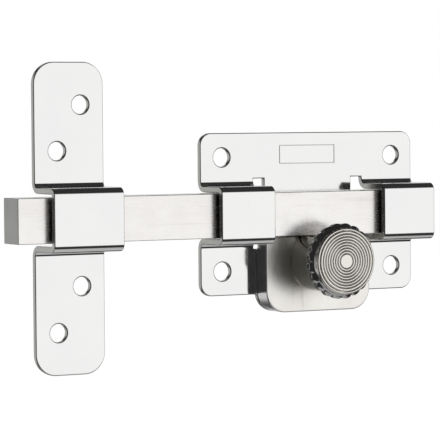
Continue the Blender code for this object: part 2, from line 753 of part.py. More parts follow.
def lobed_outline():
    """Rounded lobes that meet in narrow valleys."""
    count = KNOB_LOBES * LOBE_STEPS
    points = []
    for step in range(count):
        turn = math.tau * step / count
        swell = math.sqrt(abs(math.sin(KNOB_LOBES * turn / 2)))
        radius = LOBE_VALLEY + (LOBE_PEAK - LOBE_VALLEY) * swell
        points.append((radius * math.cos(turn), radius * math.sin(turn)))
    return points


def make_knob_head():
    """The lobed grip with a smooth collar in front, recessed for the cap."""
    head = slab("knob_head", lobed_outline(), KNOB_BACK, COLLAR_BACK, z=KNOB_Z, chamfer=LOBE_CHAMFER)
    collar_profile = [
        (0.0, KNOB_FRONT),
        (COLLAR_RADIUS - COLLAR_ROUND, KNOB_FRONT),
        (COLLAR_RADIUS - COLLAR_ROUND / 3, KNOB_FRONT - COLLAR_ROUND / 3),
        (COLLAR_RADIUS, KNOB_FRONT - COLLAR_ROUND),
        (COLLAR_RADIUS, COLLAR_BACK - LOBE_BAND / 2),
        (0.0, COLLAR_BACK - LOBE_BAND / 2),
    ]
    join(head, lathe("knob_collar", collar_profile))
    cut(head, drum("cap_recess", RECESS_RADIUS, RECESS_FLOOR, KNOB_FRONT + THROUGH))
    pocket_front = SPINDLE_FRONT + SEAT
    cut(head, square_bar("knob_bore", SQUARE_BORE, KNOB_BACK - THROUGH, pocket_front))
    wide = KNOB_SCREW_HEAD + SEAT
    narrow = KNOB_SCREW_RADIUS + SEAT
    back = pocket_front - THROUGH
    hole = countersink("knob_screw_hole", wide, narrow, back, RECESS_FLOOR, 0.0, KNOB_Z, True)
    cut(head, hole)
    return finish_node(head, CHROME)


def make_knob_screw():
    """The countersunk screw under the cap, its head level with the recess's floor."""
    front = RECESS_FLOOR - RUNNING
    neck = front - (KNOB_SCREW_HEAD - KNOB_SCREW_RADIUS)
    back = front - KNOB_SCREW_REACH
    profile = [(0.0, front), (KNOB_SCREW_HEAD, front), (KNOB_SCREW_RADIUS, neck)]
    profile += [(KNOB_SCREW_RADIUS, back), (0.0, back)]
    screw = lathe("knob_screw", profile, steps=SMALL_ROUND)
    slot = depth_block(
        "knob_screw_slot",
        (-KNOB_SCREW_HEAD - THROUGH, KNOB_SCREW_HEAD + THROUGH),
        (front - DRIVE_SLOT_DEPTH, front + THROUGH),
        (KNOB_Z - DRIVE_SLOT_WIDTH / 2, KNOB_Z + DRIVE_SLOT_WIDTH / 2),
    )
    cut(screw, slot)
    return finish_node(screw, STEEL)


def make_cap():
    return finish_node(drum("knob_cap", CAP_RADIUS, CAP_BACK, CAP_FRONT), NICKEL)


clear_scene()
PARTS = collection("rim_sliding_bolt")
CUTTERS = collection("cutters")

make_base_plate()
make_case()
make_case_screws()
make_stop_pin()
make_sleeve()
make_sleeve_screws()
make_bushes()
make_wave_washer()

keeper_carrier = empty("keeper_slide_axis", (KEEPER_X, 0.0, 0.0))
hold(make_keeper(), keeper_carrier)

bolt_carrier = empty("bolt_slide_axis", (0.0, 0.0, 0.0))
hold(make_bolt(), bolt_carrier)

knob_carrier = empty("knob_turn_axis", (0.0, 0.0, KNOB_Z))
turning = [make_spindle(), make_pinion(), make_circlip(), make_thrust_washer()]
turning += [make_knob_head(), make_knob_screw(), make_cap()]
for piece in turning:
    hold(piece, knob_carrier)
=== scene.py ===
"""Looks of a rim sliding bolt: plated sheet bridges, a brushed bar and block, and a ringed turn knob.

Everything is in metres in the part's own frame: X along the bolt, Z up, the front facing -Y.
A depth is measured forward from the base plate's back, so a depth d is y = -d.
"""

import json
import math

import bmesh
import bpy
from mathutils import Matrix, Vector


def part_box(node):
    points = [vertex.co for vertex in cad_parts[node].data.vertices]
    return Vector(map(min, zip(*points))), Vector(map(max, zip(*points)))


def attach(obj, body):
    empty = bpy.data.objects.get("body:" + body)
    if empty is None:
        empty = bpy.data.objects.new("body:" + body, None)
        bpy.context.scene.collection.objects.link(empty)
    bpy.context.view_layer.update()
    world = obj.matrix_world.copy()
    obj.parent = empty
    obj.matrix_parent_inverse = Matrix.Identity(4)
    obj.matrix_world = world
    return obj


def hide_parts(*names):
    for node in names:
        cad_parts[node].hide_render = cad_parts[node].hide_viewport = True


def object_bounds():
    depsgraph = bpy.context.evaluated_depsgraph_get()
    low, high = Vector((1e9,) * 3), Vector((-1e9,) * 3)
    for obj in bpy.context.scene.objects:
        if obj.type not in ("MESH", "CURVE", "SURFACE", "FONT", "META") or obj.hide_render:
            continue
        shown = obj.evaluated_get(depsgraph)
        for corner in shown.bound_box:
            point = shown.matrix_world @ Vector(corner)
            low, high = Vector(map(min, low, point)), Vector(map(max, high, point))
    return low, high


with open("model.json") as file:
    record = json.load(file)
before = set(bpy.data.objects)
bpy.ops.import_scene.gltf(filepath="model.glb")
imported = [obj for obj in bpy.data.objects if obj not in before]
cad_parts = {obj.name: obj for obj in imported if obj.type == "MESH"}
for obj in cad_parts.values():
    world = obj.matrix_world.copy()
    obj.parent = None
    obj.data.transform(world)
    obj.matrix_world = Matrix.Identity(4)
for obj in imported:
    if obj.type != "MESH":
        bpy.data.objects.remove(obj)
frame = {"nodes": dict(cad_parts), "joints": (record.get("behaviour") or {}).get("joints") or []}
cad_low, cad_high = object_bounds()

# Sheet metal
SHEET = 0.0020
FOLD_INSIDE = 0.0017
CREST_INSIDE = 0.0005
PLATE_CORNER = 0.0040
PLATE_HOLE_RADIUS = 0.0030
PLATE_HOLE_FROM_END = 0.0079
PLATE_HOLE_FROM_FOLD = 0.0074
KEEPER_CORNER = 0.0070
KEEPER_HOLE_RADIUS = 0.0029
KEEPER_HOLE_X = 0.0041
KEEPER_HOLE_FROM_END = 0.0134
KEEPER_HOLE_FROM_FOLD = 0.0095
RELIEF_SLOT = 0.0040
RELIEF_PAST_FOLD = 0.0004
SHEET_EDGE = 0.00038
LIP_TILT = math.radians(10)

# Clearances
BOLT_SIDE_CLEARANCE = 0.0002
KEEPER_SIDE_CLEARANCE = 0.0009
CASE_GAP = 0.0010
SEAT = 0.0002
GAP = 0.0003
THROUGH = 0.0010

# Blank frame pressed into the upper flange
BADGE_WIDTH = 0.0210
BADGE_HEIGHT = 0.0062
BADGE_LINE = 0.00034
BADGE_DEPTH = 0.00014
BADGE_UNDERCUT = THROUGH / 4
BADGE_X = -0.0003
BADGE_RISE = 0.0191

# Bolt
BOLT_EDGE = 0.00025
RACK_MODULE = 0.0010
RACK_BACKLASH = 0.0002
ROOT_DEPTH = 1.25
PRESSURE_ANGLE = math.radians(20)
STOP_X = 0.0100
STOP_Z = 0.0020
STOP_RADIUS = 0.0018
STOP_DEPTH = 0.0026

# Case
CASE_CORNER = 0.0070
CASE_EDGE = 0.00040
CASE_WALL = 0.0019
POCKET_RADIUS = 0.0106
BUSH_SEAT = 0.0055

# Knob
SLEEVE_EDGE = 0.00025
SLEEVE_BORE = 0.0070
LOBES = 20
LOBE_HEIGHT = 0.0007
LOBE_BAND = 0.0035
LOBE_VALLEY = 0.0115
LOBE_SHOULDER = 0.00090
COLLAR_RADIUS = 0.0107
COLLAR_ROUND = 0.0005
RECESS_RADIUS = 0.0099
RECESS_CHAMFER = GAP / 3
RINGS = 8
RING_START = 0.0022
RING_SHARE = 0.42
RING_DEPTH = 0.00028
RING_POWER = 1.5
# Painted shade covers a ring's groove where it is deeper than this share of the ring's depth
GROOVE_SHADE_FROM = 0.45
CAP_EDGE = 0.00030

# Screws and the holes round them
CASE_SCREW_HEAD = 0.0027
CASE_SCREW_SHANK = 0.00125
CASE_SCREW_LENGTH = 0.0043
CASE_SCREW_SIDE = 0.01405
CASE_SCREW_RISE = 0.0045
SLEEVE_SCREW_HEAD = 0.0019
SLEEVE_SCREW_SHANK = 0.00095
SLEEVE_SCREW_LENGTH = 0.0043
SLEEVE_SCREW_CIRCLE = 0.0080
SLEEVE_SCREW_ANGLES = (math.radians(210), math.radians(330))
SLOT_WIDTH = 0.0008
SLOT_DEPTH = 0.0006
SLOT_LENGTH_IN_HEADS = 3.0
SPINDLE_HOLE = 0.0025
STOP_PIN_HOLE = 0.0017

# Fineness
BEND_STEPS = 14
CORNER_STEPS = 20
HOLE_STEPS = 64
TURN_STEPS = 160
LOBE_STEPS = 12
BAND_STEPS = 6
ROUND_STEPS = 5
RING_STEPS = 10
EDGE_STEPS = 3
BOLT_EDGE_STEPS = 4
LIP_STEPS = 4
WELD = 0.000005

# Shading: an edge that turns by more than this many degrees is kept sharp, or is rounded
SHARP_FROM = 35.0
SCREW_SHARP_FROM = 30.0
GRIP_SHARP_FROM = 50.0
CAP_SHARP_FROM = 60.0
ROUNDED_FROM = 40.0
FLAT_WEIGHT = 100

# A face looks along an axis when its normal's part on that axis is above this
MOSTLY = 0.5

# Wear of the plating: how far each trace goes into the colour, the dullness and the height
HAIRLINE_TURNS = (0.3, 1.25, 2.2)
HAIRLINE_STRETCH = (30.0, 400.0, 2600.0)
HAIRLINE_WIDTH = 0.006
HAIRLINE_PATCH_SIZES = (120.0, 160.0, 200.0)
HAIRLINE_PATCH_RANGE = (0.55, 0.62)
HAIRLINE_AMOUNT = 0.6
HAIRLINE_DULLING = 0.12
HAIRLINE_HEIGHT = -0.03
CLOUD_RANGE = (0.35, 0.68)
CLOUD_TINT = 0.6
CLOUD_DULLING = 0.05
SPECK_RADII = (0.12, 0.22)
SPECK_PATCH_SIZE = 300.0
SPECK_PATCH_RANGE = (0.70, 0.75)
SPECK_SHADE = 0.85
SPECK_HEIGHT = -0.03
WAVE_SIZE = 42.0

# Brushed metal
COARSE_TO_FINE = 0.31
FINE_SHARE = 0.7
COARSE_SHARE = 0.3
DEEP_LINE_RANGE = (0.60, 0.72)
DEEP_LINE_TINT = 0.45
BRUSHED_CLOUD_TINT = 0.25
BRUSHED_CLOUD_DULLING = 0.04
LINE_DULLING = 0.16

# Turned metal
TURNED_TINT = 0.5
TURNED_CLOUD_TINT = 0.2
TURNED_DULLING = 0.08

# Camera and floor
CAMERA_TARGET = Vector((-0.0318, 0.0, -0.0018))
CAMERA_DISTANCE = 0.8549
CAMERA_YAW = math.radians(28.66)
CAMERA_PITCH = math.radians(2.22)
CAMERA_ROLL = math.radians(-0.45)
CAMERA_LENS = 216.7
FLOOR_DROP = 0.30
FLOOR_HALF = 12.0
FLOOR_ROUGHNESS = 0.9
FLOOR_GLOW = 0.12

# Studio cards: azimuths from and to, heights from and to and the soft edge's width, all in degrees, then the
# brightness. Azimuth 0 is straight in front. No card stands between -48 and -15, so faces that mirror that
# side, seen from the right, look dark.
STUDIO_CARDS = (
    (12.0, 66.0, -15.0, 25.0, 8.0, 0.95),
    (-7.0, 2.0, -12.0, 24.0, 8.0, 0.60),
    (-175.0, -100.0, -20.0, 14.0, 12.0, 0.60),
    (122.0, 172.0, -20.0, 30.0, 10.0, 0.75),
    (-180.0, 180.0, -90.0, -56.0, 10.0, 0.45),
)
STUDIO_DARK = 0.03

# Places that follow from the frame
plate_low, plate_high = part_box("base_plate")
keeper_low, keeper_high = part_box("keeper_strap")
bolt_low, bolt_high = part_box("bolt_bar")
case_low, case_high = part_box("lock_case")
sleeve_low, sleeve_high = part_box("knob_sleeve")
head_low, head_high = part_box("knob_head")
cap_low, cap_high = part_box("knob_cap")
KNOB_Z = (cap_low.z + cap_high.z) / 2
BRIDGE_REACH = -plate_low.y
CASE_HALF = case_high.x
BRIDGE_END = CASE_HALF + CASE_GAP
TRAVEL = next(joint["range_m"][1] for joint in frame["joints"] if joint["name"] == "bolt_slide")


# ---------------------------------------------------------------- materials

def node(tree, kind, **settings):
    """A shader or geometry node with its properties set."""
    made = tree.nodes.new(kind)
    for name, value in settings.items():
        setattr(made, name, value)
    return made


def feed(tree, target, value):
    """Links a socket to an input, or sets the input's own value."""
    if isinstance(value, bpy.types.NodeSocket):
        tree.links.new(value, target)
    else:
        target.default_value = value


def maths(tree, operation, *values):
    made = node(tree, "ShaderNodeMath", operation=operation)
    for socket, value in zip(made.inputs, values):
        feed(tree, socket, value)
    return made.outputs[0]


def remap(tree, value, low, high, new_low=0.0, new_high=1.0):
    made = node(tree, "ShaderNodeMapRange")
    names = ("Value", "From Min", "From Max", "To Min", "To Max")
    for name, given in zip(names, (value, low, high, new_low, new_high)):
        feed(tree, made.inputs[name], given)
    return made.outputs["Result"]


def blend_colour(tree, share, first, second):
    made = node(tree, "ShaderNodeMix", data_type="RGBA")
    feed(tree, made.inputs["Factor"], share)
    feed(tree, made.inputs["A"], first)
    feed(tree, made.inputs["B"], second)
    return made.outputs["Result"]


def shader_group(name, inputs, outputs):
    """An empty group with inputs and their defaults, and float outputs."""
    tree = bpy.data.node_groups.new(name, "ShaderNodeTree")
    for label, kind, value in inputs:
        socket = tree.interface.new_socket(label, in_out="INPUT", socket_type=kind)
        socket.default_value = value
    for label in outputs:
        tree.interface.new_socket(label, in_out="OUTPUT", socket_type="NodeSocketFloat")
    return tree, node(tree, "NodeGroupInput"), node(tree, "NodeGroupOutput")


def noise(tree, place, scale, detail=2.0, rough=0.5):
    made = node(tree, "ShaderNodeTexNoise")
    feed(tree, made.inputs["Vector"], place)
    feed(tree, made.inputs["Scale"], scale)
    made.inputs["Detail"].default_value = detail
    made.inputs["Roughness"].default_value = rough
    return made.outputs["Fac"]


def brushed_grain_group():
    """Long fine lines left by a belt or a brush, with a few deeper ones.

    Stretch squeezes the place along each axis, so the lines run along the axis with the small number.
    """
    inputs = [
        ("Stretch", "NodeSocketVector", (1.0, 1.0, 1.0)),
        ("Fineness", "NodeSocketFloat", 1800.0),
    ]
    tree, given, out = shader_group("brushed_grain", inputs, ("Lines", "Deep lines"))
    place = node(tree, "ShaderNodeTexCoord").outputs["Object"]
    drawn = node(tree, "ShaderNodeVectorMath", operation="MULTIPLY")
    feed(tree, drawn.inputs[0], place)
    feed(tree, drawn.inputs[1], given.outputs["Stretch"])
    fine = noise(tree, drawn.outputs[0], given.outputs["Fineness"], 4.0, 0.65)
    coarseness = maths(tree, "MULTIPLY", given.outputs["Fineness"], COARSE_TO_FINE)
    coarse = noise(tree, drawn.outputs[0], coarseness, 3.0)
    lines = maths(tree, "MULTIPLY_ADD", fine, FINE_SHARE, maths(tree, "MULTIPLY", coarse, COARSE_SHARE))
    feed(tree, out.inputs["Lines"], lines)
    feed(tree, out.inputs["Deep lines"], remap(tree, coarse, *DEEP_LINE_RANGE))
    return tree


def plating_group():
    """What years of handling do to plating: soft clouds, specks in the surface and faint long waves."""
    inputs = [("Cloud size", "NodeSocketFloat", 60.0), ("Speck size", "NodeSocketFloat", 1500.0)]
    tree, given, out = shader_group("plating", inputs, ("Clouds", "Specks", "Waves"))
    place = node(tree, "ShaderNodeTexCoord").outputs["Object"]
    clouds = noise(tree, place, given.outputs["Cloud size"], 4.0, 0.6)
    feed(tree, out.inputs["Clouds"], remap(tree, clouds, *CLOUD_RANGE))
    cells = node(tree, "ShaderNodeTexVoronoi")
    feed(tree, cells.inputs["Vector"], place)
    feed(tree, cells.inputs["Scale"], given.outputs["Speck size"])
    rare = remap(tree, noise(tree, place, SPECK_PATCH_SIZE, 1.0), *SPECK_PATCH_RANGE)
    near = remap(tree, cells.outputs["Distance"], *SPECK_RADII, 1.0, 0.0)
    feed(tree, out.inputs["Specks"], maths(tree, "MULTIPLY", near, rare))
    feed(tree, out.inputs["Waves"], noise(tree, place, WAVE_SIZE, 1.0))
    return tree


def scratch_group():
    """Hairline scratches in patches, in three directions that cross each other."""
    inputs = [("Amount", "NodeSocketFloat", 0.5)]
    tree, given, out = shader_group("hairlines", inputs, ("Scratches",))
    place = node(tree, "ShaderNodeTexCoord").outputs["Object"]
    found = 0.0
    for number, (turn, patch_size) in enumerate(zip(HAIRLINE_TURNS, HAIRLINE_PATCH_SIZES)):
        mapping = node(tree, "ShaderNodeMapping")
        feed(tree, mapping.inputs["Vector"], place)
        mapping.inputs["Location"].default_value = (0.37 * number, 0.11, 0.05 * number)
        mapping.inputs["Rotation"].default_value = (0.0, turn, 0.0)
        mapping.inputs["Scale"].default_value = HAIRLINE_STRETCH
        drawn = noise(tree, mapping.outputs["Vector"], 1.0, 0.0)
        from_line = maths(tree, "ABSOLUTE", maths(tree, "SUBTRACT", drawn, 0.5))
        line = remap(tree, from_line, 0.0, HAIRLINE_WIDTH, 1.0, 0.0)
        patch = remap(tree, noise(tree, place, patch_size, 1.0), *HAIRLINE_PATCH_RANGE)
        found = maths(tree, "MAXIMUM", found, maths(tree, "MULTIPLY", line, patch))
    feed(tree, out.inputs["Scratches"], maths(tree, "MULTIPLY", found, given.outputs["Amount"]))
    return tree


def grouped(tree, group, **inputs):
    """The outputs of a group put into a tree, with its inputs set by name and _ for a space."""
    made = node(tree, "ShaderNodeGroup", node_tree=group)
    for label, value in inputs.items():
        feed(tree, made.inputs[label.replace("_", " ")], value)
    return made.outputs


def metal(name):
    """A metal's material with its tree and its shader."""
    material = bpy.data.materials.new(name)
    material.use_nodes = True
    tree = material.node_tree
    shader = tree.nodes["Principled BSDF"]
    shader.inputs["Metallic"].default_value = 1.0
    return material, tree, shader


def dent(tree, shader, height, depth):
    """A height from 0 to 1 as a bump of a given depth."""
    bump = node(tree, "ShaderNodeBump")
    bump.inputs["Distance"].default_value = depth
    bump.inputs["Strength"].default_value = 1.0
    feed(tree, bump.inputs["Height"], height)
    feed(tree, shader.inputs["Normal"], bump.outputs["Normal"])


def polished_metal(name, colour, cloud_colour, roughness, wave_depth):
    """Bright plating: almost a mirror, with faint clouds, specks, hairlines and waves."""
    material, tree, shader = metal(name)
    plating = grouped(tree, PLATING)
    scratches = grouped(tree, HAIRLINES, Amount=HAIRLINE_AMOUNT)["Scratches"]
    tone = blend_colour(tree, maths(tree, "MULTIPLY", plating["Clouds"], CLOUD_TINT), colour, cloud_colour)
    speck_tone = tuple(SPECK_SHADE * part for part in colour[:3]) + (1.0,)
    feed(tree, shader.inputs["Base Color"], blend_colour(tree, plating["Specks"], tone, speck_tone))
    dull = maths(tree, "MULTIPLY_ADD", plating["Clouds"], CLOUD_DULLING, roughness)
    dull = maths(tree, "MULTIPLY_ADD", scratches, HAIRLINE_DULLING, dull)
    feed(tree, shader.inputs["Roughness"], dull)
    worn = maths(tree, "MULTIPLY_ADD", scratches, HAIRLINE_HEIGHT, plating["Waves"])
    worn = maths(tree, "MULTIPLY_ADD", plating["Specks"], SPECK_HEIGHT, worn)
    dent(tree, shader, worn, wave_depth)
    return material


def brushed_metal(name, colour, line_colour, roughness, stretch, fineness, depth):
    """Satin metal whose brush lines run one way."""
    material, tree, shader = metal(name)
    grain = grouped(tree, GRAIN, Stretch=stretch, Fineness=fineness)
    plating = grouped(tree, PLATING, Cloud_size=90.0)
    clouds = maths(tree, "MULTIPLY", plating["Clouds"], BRUSHED_CLOUD_TINT)
    share = maths(tree, "MULTIPLY_ADD", grain["Deep lines"], DEEP_LINE_TINT, clouds)
    feed(tree, shader.inputs["Base Color"], blend_colour(tree, share, colour, line_colour))
    dull = maths(tree, "MULTIPLY_ADD", grain["Lines"], LINE_DULLING, roughness - LINE_DULLING / 2)
    dull = maths(tree, "MULTIPLY_ADD", plating["Clouds"], BRUSHED_CLOUD_DULLING, dull)
    feed(tree, shader.inputs["Roughness"], dull)
    dent(tree, shader, grain["Lines"], depth)
    return material


def turned_metal(name, colour, line_colour, roughness, pitch, depth):
    """Metal with the fine rings of a lathe tool round the knob's axis."""
    material, tree, shader = metal(name)
    mapping = node(tree, "ShaderNodeMapping")
    feed(tree, mapping.inputs["Vector"], node(tree, "ShaderNodeTexCoord").outputs["Object"])
    mapping.inputs["Location"].default_value = (0.0, 0.0, -KNOB_Z)
    parts = node(tree, "ShaderNodeSeparateXYZ")
    feed(tree, parts.inputs[0], mapping.outputs["Vector"])
    squares = maths(tree, "MULTIPLY", parts.outputs["Z"], parts.outputs["Z"])
    radius = maths(tree, "SQRT", maths(tree, "MULTIPLY_ADD", parts.outputs["X"], parts.outputs["X"], squares))
    tool_path = maths(tree, "ADD", radius, parts.outputs["Y"])
    turned = node(tree, "ShaderNodeTexNoise", noise_dimensions="1D")
    feed(tree, turned.inputs["W"], maths(tree, "DIVIDE", tool_path, pitch))
    turned.inputs["Detail"].default_value = 3.0
    rings = turned.outputs["Fac"]
    plating = grouped(tree, PLATING, Cloud_size=150.0)
    clouds = maths(tree, "MULTIPLY", plating["Clouds"], TURNED_CLOUD_TINT)
    share = maths(tree, "MULTIPLY_ADD", rings, TURNED_TINT, clouds)
    feed(tree, shader.inputs["Base Color"], blend_colour(tree, share, colour, line_colour))
    feed(tree, shader.inputs["Roughness"], maths(tree, "MULTIPLY_ADD", rings, TURNED_DULLING, roughness))
    dent(tree, shader, rings, depth)
    return material


GRAIN = brushed_grain_group()
PLATING = plating_group()
HAIRLINES = scratch_group()

# Each metal's two colours and its roughness, then the depth of its waves, the stretch, fineness and depth of its
# brush lines, or the pitch and depth of its turned rings.
NICKEL = polished_metal("polished_nickel", (0.90, 0.90, 0.90, 1), (0.86, 0.87, 0.87, 1), 0.07, 0.00004)
CUT_EDGE = brushed_metal(
    "sheared_edge", (0.58, 0.58, 0.56, 1), (0.42, 0.42, 0.40, 1), 0.24, (9.0, 1.0, 9.0), 420.0, 0.00003
)
BAR = brushed_metal(
    "brushed_bar", (0.97, 0.95, 0.94, 1), (0.86, 0.82, 0.80, 1), 0.25, (0.05, 1.0, 1.0), 2400.0, 0.000004
)
BAR_END = brushed_metal(
    "sawn_bar_end", (0.46, 0.46, 0.45, 1), (0.38, 0.38, 0.37, 1), 0.34, (1.0, 1.0, 0.08), 1800.0, 0.00001
)
BLOCK = brushed_metal(
    "brushed_block", (0.98, 0.96, 0.93, 1), (0.80, 0.74, 0.65, 1), 0.30, (1.0, 1.0, 0.10), 1900.0, 0.00001
)
BLOCK_SIDE = brushed_metal(
    "milled_side", (0.88, 0.86, 0.88, 1), (0.50, 0.49, 0.50, 1), 0.20, (1.0, 1.0, 0.05), 1300.0, 0.00002
)
SLEEVE = turned_metal("polished_sleeve", (0.84, 0.83, 0.75, 1), (0.74, 0.73, 0.64, 1), 0.03, 0.00030, 0.000002)
GRIP = polished_metal("dark_chrome", (0.60, 0.60, 0.60, 1), (0.52, 0.52, 0.52, 1), 0.08, 0.00002)
CAP = turned_metal("turned_face", (0.92, 0.90, 0.86, 1), (0.76, 0.72, 0.66, 1), 0.20, 0.00016, 0.000006)
# Painted shade: a darker copy of the turned face, put on the floors of the rings' grooves, where shade falls
GROOVE_SHADE = turned_metal("painted_groove_shade", (0.40, 0.38, 0.35, 1), (0.30, 0.28, 0.25, 1), 0.24, 0.00016, 0.000004)
STEEL = brushed_metal(
    "zinc_steel", (0.62, 0.63, 0.64, 1), (0.50, 0.50, 0.50, 1), 0.30, (1.0, 0.1, 1.0), 1500.0, 0.00001
)
BRONZE = turned_metal("bearing_bronze", (0.66, 0.45, 0.25, 1), (0.50, 0.32, 0.16, 1), 0.34, 0.00025, 0.00001)


# ---------------------------------------------------------------- shaping tools

def link(obj):
    bpy.context.scene.collection.objects.link(obj)
    return obj


def mesh_object(name, bm):
    mesh = bpy.data.meshes.new(name)
    bm.to_mesh(mesh)
    bm.free()
    return link(bpy.data.objects.new(name, mesh))


def baked(obj):
    """The object as a plain mesh with its modifiers applied and its place in its vertices."""
    bpy.context.view_layer.update()
    graph = bpy.context.evaluated_depsgraph_get()
    final = obj.evaluated_get(graph)
    mesh = bpy.data.meshes.new_from_object(final, preserve_all_data_layers=True, depsgraph=graph)
    obj.modifiers.clear()
    obj.data = mesh
    mesh.transform(obj.matrix_world)
    obj.matrix_world = Matrix.Identity(4)
    return obj


def arc(centre, radius, start, end, steps):
    """Points on a circle from one angle to another, ends included."""
    turn = [start + (end - start) * step / steps for step in range(steps + 1)]
    return [(centre[0] + radius * math.cos(a), centre[1] + radius * math.sin(a)) for a in turn]


def prism(name, outline, back, front):
    """A flat outline in X and Z, as thick as from one depth to another."""
    bm = bmesh.new()
    face = bm.faces.new([bm.verts.new((x, -back, z)) for x, z in outline])
    pushed = bmesh.ops.extrude_face_region(bm, geom=[face])["geom"]
    moved = [part for part in pushed if isinstance(part, bmesh.types.BMVert)]
    bmesh.ops.translate(bm, vec=(0.0, back - front, 0.0), verts=moved)
    bmesh.ops.recalc_face_normals(bm, faces=bm.faces)
    return mesh_object(name, bm)


def box_between(name, x_range, depth_range, z_range):
    """A plain box between two places on each axis."""
    left, right = x_range
    bottom, top = z_range
    outline = [(left, bottom), (right, bottom), (right, top), (left, top)]
    return prism(name, outline, *depth_range)


def lathe(name, profile, x=0.0, z=None, steps=TURN_STEPS, closed=True):
    """A profile of (radius, depth) turned about a line along Y: the knob's own, unless z says otherwise."""
    bm = bmesh.new()
    points = [bm.verts.new((radius, -depth, 0.0)) for radius, depth in profile]
    edges = [bm.edges.new(pair) for pair in zip(points, points[1:])]
    if closed:
        edges.append(bm.edges.new((points[-1], points[0])))
    bmesh.ops.spin(
        bm, geom=points + edges, axis=(0.0, 1.0, 0.0), cent=(0.0, 0.0, 0.0), angle=math.tau,
        steps=steps, use_merge=True,
    )
    bmesh.ops.remove_doubles(bm, verts=bm.verts, dist=WELD)
    bmesh.ops.translate(bm, vec=(x, 0.0, KNOB_Z if z is None else z), verts=bm.verts)
    bmesh.ops.recalc_face_normals(bm, faces=bm.faces)
    return mesh_object(name, bm)


def drum(name, radius, back, front, x=0.0, z=None):
    """A plain cylinder from one depth to another."""
    profile = [(0.0, front), (radius, front), (radius, back), (0.0, back)]
    return lathe(name, profile, x, z, HOLE_STEPS, closed=False)


def lipped_hole(name, radius, x, z):
    """A cutter for a hole through the sheet, with a rounded lip at both faces."""
    lip = SHEET_EDGE
    front = arc((radius + lip, SHEET - lip), lip, math.pi / 2 + LIP_TILT, math.pi, LIP_STEPS)
    flare = (radius + 2 * lip, SHEET + lip * math.tan(LIP_TILT))
    half = [(0.0, SHEET + lip), (flare[0], SHEET + lip), flare] + front
    back = [(r, SHEET - depth) for r, depth in reversed(half)]
    return lathe(name, half + back, x, z, HOLE_STEPS, closed=False)


def cone_hole(name, head, shank, front, x, z):
    """The countersunk hole of a screw put in from the plate's back."""
    profile = [(0.0, front), (shank, front), (shank, head - shank), (head + SEAT, -SEAT), (0.0, -SEAT)]
    return lathe(name, profile, x, z, HOLE_STEPS, closed=False)


def paint(obj, *materials):
    obj.data.materials.clear()
    for material in materials:
        obj.data.materials.append(material)
    return obj


def paint_second(obj, chosen):
    """Gives the faces that pass a test the piece's second material."""
    for face in obj.data.polygons:
        if chosen(face):
            face.material_index = 1


def cut(obj, cutters, finish):
    """Cuts the cutters out one after another. The faces they leave get a finish, and the cutters go."""
    for cutter in cutters:
        modifier = obj.modifiers.new("cut", "BOOLEAN")
        modifier.operation = "DIFFERENCE"
        modifier.solver = "EXACT"
        modifier.material_mode = "TRANSFER"
        modifier.object = paint(cutter, finish)
    baked(obj)
    for cutter in cutters:
        bpy.data.objects.remove(cutter)
    return obj


def soften(obj, width, steps=EDGE_STEPS):
    """Rounds the sharp edges."""
    bevel = obj.modifiers.new("edges", "BEVEL")
    bevel.width = width
    bevel.segments = steps
    bevel.limit_method = "ANGLE"
    bevel.angle_limit = math.radians(ROUNDED_FROM)
    bevel.use_clamp_overlap = False
    return baked(obj)


def shade(obj, angle=SHARP_FROM):
    """Shades the piece smooth, with its edges sharp and its flats flat."""
    obj.data.shade_smooth()
    obj.data.set_sharp_from_angle(angle=math.radians(angle))
    weighted = obj.modifiers.new("flat flats", "WEIGHTED_NORMAL")
    weighted.mode = "FACE_AREA"
    weighted.weight = FLAT_WEIGHT
    weighted.keep_sharp = True
    return baked(obj)


def finish_piece(obj, body, slot, *nodes):
    """The piece stands for its CAD nodes and rides on their body. The slot is not used."""
    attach(obj, body)
    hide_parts(*nodes)
    return obj


# ---------------------------------------------------------------- sheet pieces

def bridge_path(inside_half):
    """The sheet's middle line over a bridge, as (depth, z) from the upper fold to the lower one."""
    leg = inside_half + SHEET / 2
    fold = FOLD_INSIDE + SHEET / 2
    crest = CREST_INSIDE + SHEET / 2
    upper = arc((SHEET / 2 + fold, leg + fold), fold, math.pi, 1.5 * math.pi, BEND_STEPS)
    front = BRIDGE_REACH - SHEET / 2 - crest
    upper += arc((front, leg - crest), crest, math.pi / 2, 0.0, BEND_STEPS)
    return upper + [(depth, -z) for depth, z in reversed(upper)]


def sheet_piece(name, outlines, strips):
    """Flat outlines at the back and strips over the bridges, joined along the folds and given thickness."""
    bm = bmesh.new()
    for outline in outlines:
        bm.faces.new([bm.verts.new((x, -SHEET / 2, z)) for x, z in outline])
    for ends, path in strips:
        rows = [[bm.verts.new((x, -depth, z)) for x in ends] for depth, z in path]
        for upper, lower in zip(rows, rows[1:]):
            bm.faces.new((upper[0], lower[0], lower[1], upper[1]))
    bmesh.ops.remove_doubles(bm, verts=bm.verts, dist=WELD)
    bmesh.ops.recalc_face_normals(bm, faces=bm.faces)
    obj = mesh_object(name, bm)
    solid = obj.modifiers.new("sheet", "SOLIDIFY")
    solid.thickness = SHEET
    solid.offset = 0.0
    solid.use_even_offset = True
    solid.material_offset_rim = 1
    return baked(paint(obj, NICKEL, CUT_EDGE))


def rounded_corner(x, z, side_x, side_z, radius):
    """The arc round an outline's corner, going anticlockwise seen from the front."""
    centre = (x - side_x * radius, z - side_z * radius)
    start = {(1, 1): 0.0, (-1, 1): 0.5, (-1, -1): 1.0, (1, -1): 1.5}[(side_x, side_z)] * math.pi
    return arc(centre, radius, start, start + math.pi / 2, CORNER_STEPS)


